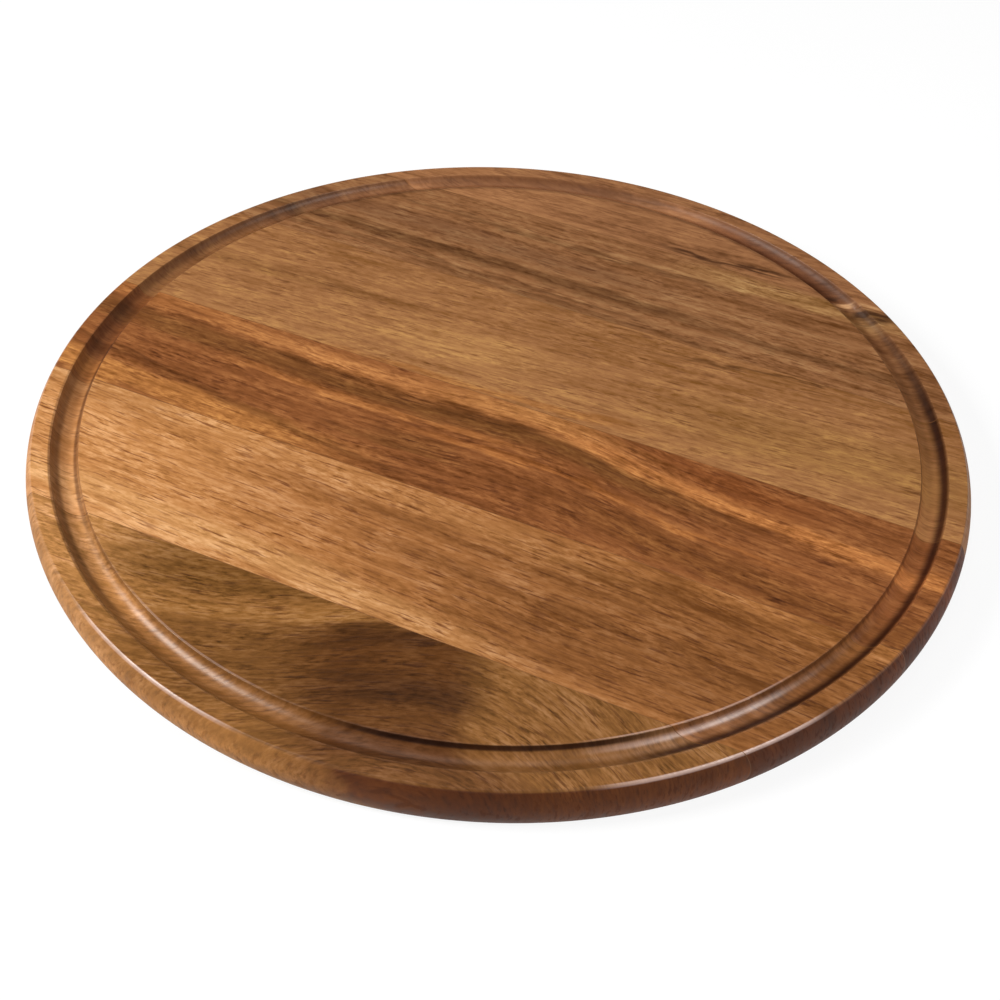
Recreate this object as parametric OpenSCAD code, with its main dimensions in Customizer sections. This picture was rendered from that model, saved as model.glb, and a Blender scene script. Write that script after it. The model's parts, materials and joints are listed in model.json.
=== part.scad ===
// Round serving board: six edge-glued hardwood staves, a rounded side and a routed juice groove.
// The staves run along X. The origin is the centre of the underside, and +Z points up.

/* [Board] */
// Outer diameter of the board
board_d = 320; // [290:1:360]
// Thickness of the board
board_t = 15; // [13:0.5:24]

/* [Side] */
// How far the rounded side stands out, at half its height, past the edges of the top and bottom faces
side_bulge = 2.4; // [1:0.1:4]
// What the sanded bevel along the top and bottom edges takes off the face and off the side
edge_bevel = 0.4; // [0.1:0.1:1]

/* [Juice groove] */
// Width of the groove at the top face
groove_w = 9; // [7:0.5:14]
// Depth of the groove below the top face
groove_depth = 3.5; // [1.5:0.1:4.4]
// Distance from the rim to the outer edge of the groove
groove_inset = 8.7; // [6.5:0.1:30]
// What the sanded bevel along both edges of the groove takes off the top face and off the groove's wall
groove_bevel = 0.4; // [0.1:0.1:1]

/* [Staves] */
// Width of the tan stave, behind the front one
tan_w = 56.5; // [40:0.5:70]
// Width of the red stave
red_w = 53; // [40:0.5:70]
// Width of the golden stave
golden_w = 58.5; // [40:0.5:70]
// Width of the brown stave, in front of the back one
brown_w = 52; // [40:0.5:70]
// Distance of the glue line between the red and golden staves from the centre, towards the back
layup_shift = 6.5; // [-15:0.5:15]
// Thickness of the glue film between two staves
glue_t = 0.2; // [0.1:0.05:0.5]

/* [Hidden] */

// Sides of a full circle
$fn = 180;
// How far a cutting shape runs past what it cuts
overrun = 2;
// How far a bevel's cutting shape runs on past its foot, as a share of the bevel's own length
bevel_overlap_share = 0.5;

board_r = board_d / 2;

// The arc of the side, from the bottom face to the top face, and where its centre lies
side_r = (pow(board_t / 2, 2) + pow(side_bulge, 2)) / (2 * side_bulge);
side_mid_r = board_r - side_r;

// The round-nosed cutter whose arc has the groove's width and depth, and where it runs
groove_mid_r = board_r - groove_inset - groove_w / 2;
cutter_r = (pow(groove_w / 2, 2) + pow(groove_depth, 2)) / (2 * groove_depth);
cutter_z = board_t - groove_depth + cutter_r;

// Y of the glue lines, from the front to the back. The front and back staves run on to the rim.
glue_lines = [
    layup_shift - red_w - tan_w,
    layup_shift - red_w,
    layup_shift,
    layup_shift + golden_w,
    layup_shift + golden_w + brown_w
];
last_line = len(glue_lines) - 1;

// Half section of the turned board, in radius and height
module half_section() {
    difference() {
        intersection() {
            square([board_r + overrun, board_t]);
            union() {
                square([side_mid_r, board_t]);
                translate([side_mid_r, board_t / 2])
                    circle(r = side_r);
            }
        }
        translate([groove_mid_r, 0])
            groove_section();
        edge_section();
        translate([0, board_t])
            mirror([0, 1])
                edge_section();
    }
}

// Section of what the bevel takes off the top edge, from its brow on the top face to its foot on the side
module edge_section() {
    brow = [board_r - side_bulge - edge_bevel, board_t];
    foot_z = board_t - edge_bevel;
    foot = [side_mid_r + sqrt(pow(side_r, 2) - pow(foot_z - board_t / 2, 2)), foot_z];
    outside = foot + (foot - brow) * bevel_overlap_share;
    polygon([
        brow,
        outside,
        [outside.x, board_t + overrun],
        [brow.x, board_t + overrun]
    ]);
}

// Section of the groove: the cutter's arc, and a bevel that takes as much off each wall as off the top.
// The bevel starts at its brow on the top face and meets the arc at its foot.
module groove_section() {
    edge_angle = asin(groove_w / 2 / cutter_r);
    foot_angle = edge_angle - asin(groove_bevel / cutter_r);
    brow = [groove_w / 2 + groove_bevel, 0];
    foot = [cutter_r * sin(foot_angle), cutter_z - board_t - cutter_r * cos(foot_angle)];
    inside = foot + (foot - brow) * bevel_overlap_share;
    translate([0, cutter_z])
        circle(r = cutter_r);
    translate([0, board_t])
        polygon([
            [-brow.x, overrun],
            [-brow.x, brow.y],
            [-inside.x, inside.y],
            inside,
            brow,
            [brow.x, overrun]
        ]);
}

// The board as it is turned from the glued panel
module turned_board() {
    rotate_extrude()
        half_section();
}

// The part of the board that lies between two planes across Y
module slice(y_low, y_high) {
    intersection() {
        turned_board();
        translate([-board_r - overrun, y_low, -overrun])
            cube([board_d + 2 * overrun, y_high - y_low, board_t + 2 * overrun]);
    }
}

// One stave: the wood between glue line number `line` and the next one, or the rim
module stave(line) {
    y_low = line < 0 ? -board_r - overrun : glue_lines[line] + glue_t / 2;
    y_high = line == last_line ? board_r + overrun : glue_lines[line + 1] - glue_t / 2;
    slice(y_low, y_high);
}

// The cured film of glue in one glue line
module glue_film(line) {
    slice(glue_lines[line] - glue_t / 2, glue_lines[line] + glue_t / 2);
}

module front_stave() { color("#6a4224") stave(-1); }
module tan_stave() { color("#a8713c") stave(0); }
module red_stave() { color("#7d4420") stave(1); }
module golden_stave() { color("#94622e") stave(2); }
module brown_stave() { color("#7f5027") stave(3); }
module back_stave() { color("#85502c") stave(4); }

module glue_front_tan() { color("#3b2413") glue_film(0); }
module glue_tan_red() { color("#3b2413") glue_film(1); }
module glue_red_golden() { color("#3b2413") glue_film(2); }
module glue_golden_brown() { color("#3b2413") glue_film(3); }
module glue_brown_back() { color("#3b2413") glue_film(4); }

front_stave();
glue_front_tan();
tan_stave();
glue_tan_red();
red_stave();
glue_red_golden();
golden_stave();
glue_golden_brown();
brown_stave();
glue_brown_back();
back_stave();
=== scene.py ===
"""Round serving board of six edge-glued hardwood staves with a routed juice groove.

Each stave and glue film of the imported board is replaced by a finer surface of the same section, and
each stave gets its own oiled wood, laid out along X, which is the way its grain runs.
Lengths are in millimetres unless a name says otherwise, and the meshes are written in metres.
"""
from __future__ import annotations

import json
import logging
import math
from dataclasses import asdict, dataclass
from enum import Enum
from functools import reduce

import bmesh
import bpy
import numpy as np
from mathutils import Matrix, Vector


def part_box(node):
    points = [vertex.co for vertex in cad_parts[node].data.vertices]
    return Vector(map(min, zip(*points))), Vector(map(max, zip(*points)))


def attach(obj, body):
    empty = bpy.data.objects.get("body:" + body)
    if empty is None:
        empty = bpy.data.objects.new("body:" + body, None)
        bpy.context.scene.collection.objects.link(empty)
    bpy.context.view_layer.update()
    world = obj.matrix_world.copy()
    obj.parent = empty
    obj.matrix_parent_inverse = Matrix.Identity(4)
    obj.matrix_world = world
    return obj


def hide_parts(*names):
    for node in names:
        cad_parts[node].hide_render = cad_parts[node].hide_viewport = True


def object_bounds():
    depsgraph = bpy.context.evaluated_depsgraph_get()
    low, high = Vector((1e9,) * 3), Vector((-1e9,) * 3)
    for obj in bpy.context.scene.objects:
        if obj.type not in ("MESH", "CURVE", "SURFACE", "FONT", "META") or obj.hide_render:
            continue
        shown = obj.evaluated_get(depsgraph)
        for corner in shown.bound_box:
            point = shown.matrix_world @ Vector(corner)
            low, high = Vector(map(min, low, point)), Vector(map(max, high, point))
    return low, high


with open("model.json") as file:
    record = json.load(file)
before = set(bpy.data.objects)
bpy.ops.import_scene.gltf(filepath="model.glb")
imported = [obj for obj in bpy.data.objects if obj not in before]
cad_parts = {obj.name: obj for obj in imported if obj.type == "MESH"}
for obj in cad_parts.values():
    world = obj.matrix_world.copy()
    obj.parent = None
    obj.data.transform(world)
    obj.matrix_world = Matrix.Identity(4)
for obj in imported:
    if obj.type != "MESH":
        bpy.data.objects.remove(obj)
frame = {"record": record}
CAD_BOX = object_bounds()

log = logging.getLogger("serving_board")

MM = 0.001
FLAT_MAP = "OFBake"
WHOLE_WIDTH = (0.0, 1.0)
NOISE_MIDDLE = 0.5

SRGB_KNEE = 0.04045
SRGB_SLOPE = 12.92
SRGB_OFFSET = 0.055
SRGB_POWER = 2.4

Socket = bpy.types.NodeSocket
Source = Socket | float | tuple
Span = tuple[float, float]
Stripe = tuple[float, float, float, float]
Colour = tuple[float, float, float, float]


class BoardEnd(Enum):
    """The two ends of a stave, as the sign of X there."""

    LEFT = -1
    RIGHT = 1


class RimSide(Enum):
    """The two sides of the board that have no further stave, as the sign of Y there."""

    FRONT = -1
    BACK = 1


def linear_colour(hex_colour: str) -> Colour:
    """Turns a display colour into the linear colour that a shader takes.

    Args:
        hex_colour: The colour as six hexadecimal digits, red first.

    Returns:
        Linear red, green and blue, and an alpha of one.
    """
    display = np.array([int(hex_colour[i:i + 2], 16) for i in (0, 2, 4)]) / 255
    curve = ((display + SRGB_OFFSET) / (1 + SRGB_OFFSET)) ** SRGB_POWER
    linear = np.where(display <= SRGB_KNEE, display / SRGB_SLOPE, curve)
    return (*linear.tolist(), 1.0)


def shade_of(hex_colour: str, base: str) -> Colour:
    """The factor for each channel that turns one display colour into another, with an alpha of one."""
    ratio = np.array(linear_colour(hex_colour)) / np.array(linear_colour(base))
    return tuple(ratio.tolist())


def soft_lower(first: np.ndarray, second: np.ndarray, softness: float) -> np.ndarray:
    """The lower of two heights with a rounded corner: their mean less half of sqrt(gap^2 + softness^2)."""
    return (first + second - np.hypot(first - second, softness)) / 2


def blend_between(start: np.ndarray, end: np.ndarray, share: np.ndarray) -> np.ndarray:
    """Goes evenly from one array to another: start + (end - start) * share."""
    return start + (end - start) * share


def direction(azimuth: float, elevation: float) -> Vector:
    """Points from the board to an azimuth, which starts at its front, and an elevation, in degrees."""
    turn, lift = math.radians(azimuth), math.radians(elevation)
    return Vector((math.sin(turn) * math.cos(lift), -math.cos(turn) * math.cos(lift), math.sin(lift)))


def placed(name: str, data: bpy.types.ID) -> bpy.types.Object:
    """Makes an object of a mesh, a lamp or a camera, and puts it into the scene."""
    item = bpy.data.objects.new(name, data)
    bpy.context.scene.collection.objects.link(item)
    return item


@dataclass(frozen=True)
class BoardSection:
    """Half section of the turned board, as heights over the radius.

    The groove is the arc of a round-nosed cutter with sanded edges, and the side is a flatter arc from
    face to face with a narrow bevel at its top and bottom edges.

    Attributes:
        radius: The board's radius.
        thickness: Its thickness.
        side_bulge: How far the side stands out at half its height.
        edge_bevel: How far in on the face the edge's bevel starts.
        edge_drop: How far down the side it ends.
        edge_softness: How rounded its two corners are.
        edge_reach: How far past it, both ways, the section is sampled closely.
        groove_width: Width of the groove at the top face.
        groove_depth: Its depth.
        groove_inset: Distance from the rim to its outer edge.
        groove_bevel: What the sanding takes off its edges.
        arris_reach: How far past that the sanding fades out on the flat top.
        support: How far past a rounding the next row of points lies on the flat.
        arc_steps: Rows on the groove's arc.
        arris_steps: Rows on each of its sanded edges.
        edge_steps: Rows on the edge's bevel.
        side_steps: Rows on each half of the side.
    """

    radius: float
    thickness: float
    side_bulge: float = 2.4
    edge_bevel: float = 0.2
    edge_drop: float = 0.45
    edge_softness: float = 0.08
    edge_reach: float = 0.4
    groove_width: float = 9.0
    groove_depth: float = 3.5
    groove_inset: float = 8.7
    groove_bevel: float = 0.4
    arris_reach: float = 0.2
    support: float = 0.4
    arc_steps: int = 36
    arris_steps: int = 8
    edge_steps: int = 20
    side_steps: int = 16

    @property
    def groove_middle(self) -> float:
        """Radius of the groove's deepest line."""
        return self.radius - self.groove_inset - self.groove_width / 2

    @property
    def cutter_radius(self) -> float:
        """Radius of the cutter whose arc has the groove's width and depth."""
        half = self.groove_width / 2
        return (half ** 2 + self.groove_depth ** 2) / (2 * self.groove_depth)

    @property
    def foot_angle(self) -> float:
        """Angle at the cutter's centre, from straight down, at which the sanded edge meets the arc."""
        edge = math.asin(self.groove_width / 2 / self.cutter_radius)
        return edge - math.asin(self.groove_bevel / self.cutter_radius)

    @property
    def foot(self) -> float:
        """Distance of that meeting point from the groove's middle."""
        return self.cutter_radius * math.sin(self.foot_angle)

    @property
    def brow(self) -> float:
        """Distance from the groove's middle at which the sanded edge leaves the flat top."""
        return self.groove_width / 2 + self.groove_bevel + self.arris_reach

    @property
    def side_radius(self) -> float:
        """Radius of the side's arc."""
        half = self.thickness / 2
        return (half ** 2 + self.side_bulge ** 2) / (2 * self.side_bulge)

    @property
    def side_angle(self) -> float:
        """Angle at the side arc's centre, above the level, at which the plain side starts."""
        return math.asin((self.thickness / 2 - self.edge_drop - self.edge_reach) / self.side_radius)

    @property
    def edge_brow(self) -> float:
        """Radius at which the edge's bevel leaves the flat face."""
        return self.radius - self.side_bulge - self.edge_bevel

    @property
    def edge_slope(self) -> float:
        """Fall of the bevel for each millimetre outwards, so that it meets the side at its drop."""
        over = self.thickness / 2 - self.edge_drop
        foot = self.radius - self.side_radius + math.sqrt(self.side_radius ** 2 - over ** 2)
        return self.edge_drop / (foot - self.edge_brow)

    @property
    def face_radius(self) -> float:
        """Radius at which the flat faces end."""
        return self.edge_brow - self.edge_reach

    def side_radii(self) -> np.ndarray:
        """Radii on the side's arc, from under the bevel to half height."""
        angles = np.linspace(self.side_angle, 0, self.side_steps + 1)
        return self.radius - self.side_radius * (1 - np.cos(angles))

    def radii(self) -> np.ndarray:
        """Radii at which the section is sampled, from the flat field out to half the side's height.

        Returns:
            Rising radii, close together on the sanded edges and the arcs.
        """
        angles = np.linspace(-self.foot_angle, self.foot_angle, self.arc_steps + 1)
        arc = self.groove_middle + self.cutter_radius * np.sin(angles)
        arris = np.linspace(self.foot, self.brow, self.arris_steps + 1)[1:]
        side = self.side_radii()
        edge = np.linspace(self.face_radius, side[0], self.edge_steps + 1)[:-1]
        return np.concatenate([
            [self.groove_middle - self.brow - self.support],
            self.groove_middle - arris[::-1],
            arc,
            self.groove_middle + arris,
            [self.groove_middle + self.brow + self.support, self.face_radius - self.support],
            edge,
            side,
        ])

    @staticmethod
    def sanded(share: np.ndarray, foot: float, slope: float, brow: float) -> np.ndarray:
        """The cubic that leaves the foot at its slope and reaches the brow's height level."""
        return foot + slope * share * (1 - share) ** 2 + (brow - foot) * share ** 2 * (3 - 2 * share)

    def top_heights(self, radii: np.ndarray) -> np.ndarray:
        """Heights of the top surface.

        In the groove the height is the cutter's arc, c - sqrt(k^2 - d^2) with d the distance from the
        groove's middle, which meets the flat top in a cubic that leaves the arc at the arc's slope. On
        the side it is half the thickness + sqrt(s^2 - e^2) with e the distance from the side arc's
        centre, and the bevel is a straight line that lies under the flat top and that arc.

        Args:
            radii: The radii to sample at.

        Returns:
            One height for each radius.
        """
        away = np.abs(radii - self.groove_middle)
        centre = self.thickness - self.groove_depth + self.cutter_radius
        arc = centre - np.sqrt(np.clip(self.cutter_radius ** 2 - away ** 2, 0, None))
        reach = self.brow - self.foot
        arris = self.sanded(np.clip((away - self.foot) / reach, 0, 1),
                            centre - self.cutter_radius * math.cos(self.foot_angle),
                            math.tan(self.foot_angle) * reach, self.thickness)
        past = radii - self.radius + self.side_radius
        side = self.thickness / 2 + np.sqrt(np.clip(self.side_radius ** 2 - past ** 2, 0, None))
        bevel = self.thickness - (radii - self.edge_brow) * self.edge_slope
        edge = soft_lower(soft_lower(bevel, side, self.edge_softness), self.thickness, self.edge_softness)
        groove = np.where(away <= self.foot, arc, np.minimum(arris, self.thickness))
        rim = np.where(radii >= self.side_radii()[0], side, edge)
        return np.where(radii > self.groove_middle + self.brow, rim, groove)

    def bottom_heights(self, radii: np.ndarray) -> np.ndarray:
        """Heights of the underside: flat, then the top edge and side turned upside down."""
        rim = self.thickness - self.top_heights(radii)
        return np.where(radii > self.face_radius, rim, 0.0)


@dataclass(frozen=True)
class Patch:
    """A grid of surface points, and the box that it takes up on the flat map.

    Attributes:
        points: Rows by columns by three, in millimetres.
        columns: Where on the flat map's width its first and last columns lie.
        rows: Where on the flat map's height its first and last rows lie.
    """

    points: np.ndarray
    columns: Span
    rows: Span

    def map_places(self) -> np.ndarray:
        """Spreads the grid evenly over its box."""
        rows, columns = self.points.shape[:2]
        across = np.linspace(*self.columns, columns)
        up = np.linspace(*self.rows, rows)
        return np.stack(np.meshgrid(across, up), axis=-1)


def closed_mesh(name: str, patches: list[Patch], merge_distance: float,
                sharp_angle: float) -> bpy.types.Mesh:
    """Joins patches that meet edge to edge into one closed mesh with outward faces.

    Args:
        name: The mesh's name.
        patches: The grids, which share their border points.
        merge_distance: Border points nearer than this become one, in metres.
        sharp_angle: Edges that turn by more than this are shaded sharp, in radians.

    Returns:
        The mesh, in metres, with its flat map.
    """
    corners, faces, places = [], [], []
    first = 0
    for patch in patches:
        rows, columns = patch.points.shape[:2]
        index = first + np.arange(rows * columns).reshape(rows, columns)
        quads = np.stack([index[:-1, :-1], index[:-1, 1:], index[1:, 1:], index[1:, :-1]], axis=-1)
        corners.append(patch.points.reshape(-1, 3))
        faces.append(quads.reshape(-1, 4))
        places.append(patch.map_places().reshape(-1, 2))
        first += rows * columns
    quads = np.concatenate(faces)
    mesh = bpy.data.meshes.new(name)
    mesh.from_pydata((np.concatenate(corners) * MM).tolist(), [], quads.tolist())
    flat_map = mesh.uv_layers.new(name=FLAT_MAP)
    flat_map.data.foreach_set("uv", np.concatenate(places)[quads.ravel()].astype(np.float32).ravel())
    solid = bmesh.new()
    solid.from_mesh(mesh)
    bmesh.ops.remove_doubles(solid, verts=solid.verts, dist=merge_distance)
    bmesh.ops.recalc_face_normals(solid, faces=solid.faces)
    solid.to_mesh(mesh)
    solid.free()
    mesh.shade_smooth()
    mesh.set_sharp_from_angle(angle=sharp_angle)
    return mesh


@dataclass(frozen=True)
class BoardPiece:
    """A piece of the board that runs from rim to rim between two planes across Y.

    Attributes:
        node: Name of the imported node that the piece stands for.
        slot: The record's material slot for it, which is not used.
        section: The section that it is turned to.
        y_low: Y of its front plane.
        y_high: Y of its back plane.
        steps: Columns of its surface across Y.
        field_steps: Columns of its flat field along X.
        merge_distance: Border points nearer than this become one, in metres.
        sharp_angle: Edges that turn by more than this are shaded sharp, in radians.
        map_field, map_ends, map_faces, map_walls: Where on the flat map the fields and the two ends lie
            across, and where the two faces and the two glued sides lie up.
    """

    node: str
    slot: str
    section: BoardSection
    y_low: float
    y_high: float
    steps: int = 44
    field_steps: int = 36
    merge_distance: float = 2e-7
    sharp_angle: float = math.radians(55)

    map_field = (0.10, 0.90)
    map_ends = {BoardEnd.LEFT: (0.10, 0.0), BoardEnd.RIGHT: (0.90, 1.0)}
    map_faces = ((0.52, 1.0), (0.07, 0.47))
    map_walls = ((0.0, 0.02), (0.03, 0.05))

    def angles(self, radii: np.ndarray) -> np.ndarray:
        """Angles on the circle of each radius, evenly from the front plane to the back plane.

        The angle at radius r and share t is asin(low / r) + (asin(high / r) - asin(low / r)) * t.
        """
        share = np.linspace(0, 1, self.steps + 1)[None, :]
        ring = radii[:, None]
        return blend_between(np.arcsin(self.y_low / ring), np.arcsin(self.y_high / ring), share)

    def faces(self, radii: np.ndarray) -> tuple[np.ndarray, np.ndarray]:
        """Heights of the top surface and of the underside at each radius."""
        return self.section.top_heights(radii), self.section.bottom_heights(radii)

    def ring(self, radii: np.ndarray, heights: np.ndarray, x_sign: int = 1, y_sign: int = 1) -> np.ndarray:
        """Part of a turned surface: (x_sign * r cos a, y_sign * r sin a, height) with the angles a."""
        angle = self.angles(radii)
        ring = radii[:, None]
        level = np.broadcast_to(heights[:, None], angle.shape)
        return np.stack([x_sign * ring * np.cos(angle), y_sign * ring * np.sin(angle), level], axis=-1)

    def field(self, radius: float, height: float) -> np.ndarray:
        """Flat panel between the two ends: (f r cos a, r sin a, height) with f from -1 to 1."""
        angle = self.angles(np.array([radius]))
        share = np.linspace(-1, 1, self.field_steps + 1)[:, None]
        along = share * radius * np.cos(angle)
        across = np.broadcast_to(radius * np.sin(angle), along.shape)
        return np.stack([along, across, np.full_like(along, height)], axis=-1)

    def upright(self, y: float, radii: np.ndarray, end: np.ndarray, inner: np.ndarray) -> np.ndarray:
        """Upright strips in the plane y, between the underside and the top surface.

        Args:
            y: The plane.
            radii: Radii of the section's rows.
            end: X at which those rows meet the plane at the end where the strips stop.
            inner: X of the columns between the two ends.

        Returns:
            Two rows of points, the lower one first.
        """
        along = np.concatenate([-end[::-1], inner, end])
        top, bottom = self.faces(radii)
        level = np.stack([
            np.concatenate([row[::-1], np.full(inner.size, row[0]), row]) for row in (bottom, top)])
        return np.stack([np.broadcast_to(along, level.shape), np.full_like(level, y), level], axis=-1)

    def wall(self, y: float, radii: np.ndarray) -> np.ndarray:
        """Glued side, with columns at x = f * sqrt(r0^2 - y^2) over the field and sqrt(r^2 - y^2) past it."""
        end = np.sqrt(radii ** 2 - y ** 2)
        share = np.linspace(-1, 1, self.field_steps + 1)[1:-1]
        return self.upright(y, radii, end, share * end[0])

    def patches(self) -> list[Patch]:
        """All of the piece's surface, as patches that meet edge to edge.

        Returns:
            The two glued sides, and the top and the underside with their halves of the rim.
        """
        radii = self.section.radii()
        found = [
            Patch(self.wall(y, radii), WHOLE_WIDTH, rows)
            for y, rows in zip((self.y_low, self.y_high), self.map_walls)]
        for heights, rows in zip(self.faces(radii), self.map_faces):
            found.append(Patch(self.field(radii[0], heights[0]).swapaxes(0, 1), self.map_field, rows))
            for end, columns in self.map_ends.items():
                found.append(Patch(self.ring(radii, heights, end.value).swapaxes(0, 1), columns, rows))
        return found

    def build(self, material: bpy.types.Material) -> bpy.types.Object:
        """Makes the piece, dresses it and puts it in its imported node's place.

        Args:
            material: Its finish.

        Returns:
            The finished object.
        """
        mesh = closed_mesh(self.node, self.patches(), self.merge_distance, self.sharp_angle)
        mesh.materials.append(material)
        piece = placed(f"{self.node}_dressed", mesh)
        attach(piece, "root")
        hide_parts(self.node)
        log.info("%s: %d faces, %s", piece.name, len(mesh.polygons), material.name)
        return piece


@dataclass(frozen=True)
class RimStave(BoardPiece):
    """The stave at the front or the back, which one plane cuts off from the rest of the round.

    Attributes:
        rim_side: Which of the two it is.
        steps: Columns of its surface round the rim.
        field_steps: Columns of its flat field from the groove to the glued side.
        map_segments, map_rings, map_wall: Where on the flat map the flats, the turned rest of the two
            faces and the glued side lie up.
    """

    rim_side: RimSide = RimSide.FRONT
    steps: int = 150
    field_steps: int = 8

    map_segments = ((0.74, 1.0), (0.04, 0.19))
    map_rings = ((0.40, 0.73), (0.20, 0.39))
    map_wall = (0.0, 0.03)

    @property
    def cut(self) -> float:
        """Distance of its glued side from the board's middle."""
        return abs(self.y_high if self.rim_side is RimSide.FRONT else self.y_low)

    def angles(self, radii: np.ndarray) -> np.ndarray:
        """Angles on the circle of each radius, evenly from asin(cut / r) to pi - asin(cut / r)."""
        share = np.linspace(0, 1, self.steps + 1)[None, :]
        start = np.arcsin(self.cut / radii[:, None])
        return blend_between(start, math.pi - start, share)

    def segment(self, radius: float, height: float) -> np.ndarray:
        """Flat between the groove and the glued side: y goes from r sin a to the cut, x stays r cos a."""
        angle = self.angles(np.array([radius]))
        share = np.linspace(0, 1, self.field_steps + 1)[:, None]
        across = self.rim_side.value * blend_between(radius * np.sin(angle), self.cut, share)
        along = np.broadcast_to(radius * np.cos(angle), across.shape)
        return np.stack([along, across, np.full_like(across, height)], axis=-1)

    def glued_side(self, radii: np.ndarray) -> np.ndarray:
        """Upright strips in the cut's plane, at the columns of the rings and of the flat segment."""
        end = np.sqrt(radii ** 2 - self.cut ** 2)
        inner = radii[0] * np.cos(self.angles(radii[:1]))[0, 1:-1]
        return self.upright(self.rim_side.value * self.cut, radii, -end, inner)

    def patches(self) -> list[Patch]:
        """All of the stave's surface, as patches that meet edge to edge.

        Returns:
            The glued side, and the top and the underside with their halves of the rim.
        """
        radii = self.section.radii()
        found = [Patch(self.glued_side(radii), WHOLE_WIDTH, self.map_wall)]
        for heights, flat, turned in zip(self.faces(radii), self.map_segments, self.map_rings):
            found.append(Patch(self.segment(radii[0], heights[0]), WHOLE_WIDTH, flat))
            found.append(Patch(self.ring(radii, heights, y_sign=self.rim_side.value), WHOLE_WIDTH, turned))
        return found


class NodeCanvas:
    """Places the nodes of one shader tree and links them."""

    def __init__(self, tree: bpy.types.NodeTree) -> None:
        """Starts on a tree with no nodes in it."""
        self.tree = tree
        self.tree.nodes.clear()

    def plug(self, socket: Socket, source: Source) -> None:
        """Links a socket to another one, or sets it to a plain value."""
        if isinstance(source, bpy.types.NodeSocket):
            self.tree.links.new(source, socket)
        else:
            socket.default_value = source

    def add(self, kind: str, inputs: dict[str | int, Source] | None = None,
            **settings: object) -> bpy.types.Node:
        """Adds a node.

        Args:
            kind: Blender's name for the node, without ShaderNode in front.
            inputs: What its sockets take, by name or number.
            **settings: The node's own properties.

        Returns:
            The node.
        """
        node = self.tree.nodes.new(f"ShaderNode{kind}")
        for name, value in settings.items():
            setattr(node, name, value)
        for name, source in (inputs or {}).items():
            self.plug(node.inputs[name], source)
        return node

    def use(self, group: bpy.types.NodeTree, inputs: dict[str, Source]) -> bpy.types.NodeOutputs:
        """Places a node group with its own values, and gives its outputs."""
        return self.add("Group", inputs, node_tree=group).outputs

    def split(self, vector: Source) -> tuple[Socket, Socket, Socket]:
        """The three parts of a vector."""
        return tuple(self.add("SeparateXYZ", {0: vector}).outputs)

    def join(self, *parts: Source) -> Socket:
        """A vector from its three parts."""
        return self.add("CombineXYZ", dict(enumerate(parts))).outputs[0]

    def math(self, operation: str, *operands: Source) -> Socket:
        """One step of arithmetic on values."""
        return self.add("Math", dict(enumerate(operands)), operation=operation).outputs[0]

    def chain(self, operation: str, operands: tuple[Source, ...]) -> Socket:
        """The same step of arithmetic over two or more values, from the first to the last."""
        return reduce(lambda first, second: self.math(operation, first, second), operands)

    def sum(self, *terms: Source) -> Socket:
        """Adds up values."""
        return self.chain("ADD", terms)

    def times(self, *factors: Source) -> Socket:
        """Multiplies values."""
        return self.chain("MULTIPLY", factors)

    def highest(self, *values: Source) -> Socket:
        """The highest of some values."""
        return self.chain("MAXIMUM", values)

    def less(self, first: Source, second: Source) -> Socket:
        """The first value less the second."""
        return self.math("SUBTRACT", first, second)

    def over(self, first: Source, second: Source) -> Socket:
        """The first value divided by the second."""
        return self.math("DIVIDE", first, second)

    def linear(self, value: Source, factor: Source, shift: Source) -> Socket:
        """The value times a factor, plus a shift."""
        return self.math("MULTIPLY_ADD", value, factor, shift)

    def ramp(self, value: Source, low: Source, high: Source, course: str) -> Socket:
        """Goes from 0 where the value is low to 1 where it is high, on a course that Blender names."""
        inputs = {"Value": value, "From Min": low, "From Max": high}
        return self.add("MapRange", inputs, interpolation_type=course).outputs["Result"]

    def stretch(self, value: Source, low: Source, high: Source) -> Socket:
        """Rises evenly from 0 where the value is low to 1 where it is high."""
        return self.ramp(value, low, high, "LINEAR")

    def rising(self, value: Source, low: Source, high: Source) -> Socket:
        """Rises smoothly from 0 where the value is low to 1 where it is high."""
        return self.ramp(value, low, high, "SMOOTHSTEP")

    def falling(self, value: Source, low: Source, high: Source) -> Socket:
        """Falls smoothly from 1 where the value is low to 0 where it is high."""
        return self.less(1.0, self.rising(value, low, high))

    def stripe(self, value: Source, start: Source, full: Source, fade: Source, end: Source) -> Socket:
        """Rises smoothly from the start to full, and falls smoothly from the fade to the end."""
        return self.times(self.rising(value, start, full), self.falling(value, fade, end))

    def between(self, mask: Source, outside: Source, inside: Source) -> Socket:
        """Goes evenly from one value where the mask is 0 to another where it is 1."""
        return self.sum(self.times(self.less(1.0, mask), outside), self.times(mask, inside))

    def mix(self, share: Source, first: Source, second: Source, blend: str = "MIX") -> Socket:
        """Mixes two colours.

        Args:
            share: How much of the second colour, from 0 to 1.
            first: The colour underneath.
            second: The colour on top.
            blend: Blender's name for the way of mixing.

        Returns:
            The mixed colour.
        """
        # A Mix node takes its two colours at sockets 6 and 7, and gives its colour at socket 2
        inputs = {0: share, 6: first, 7: second}
        return self.add(
            "Mix", inputs, data_type="RGBA", blend_type=blend, clamp_factor=True).outputs[2]

    def noise(self, place: Source, detail: float, roughness: float) -> Socket:
        """Soft noise of about one bump for each unit of the place."""
        inputs = {"Vector": place, "Scale": 1.0, "Detail": detail, "Roughness": roughness}
        return self.add("TexNoise", inputs).outputs[0]


def new_material(name: str) -> tuple[bpy.types.Material, NodeCanvas]:
    """Makes a material, and the canvas for its nodes."""
    material = bpy.data.materials.new(name)
    material.use_nodes = True
    return material, NodeCanvas(material.node_tree)


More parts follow.
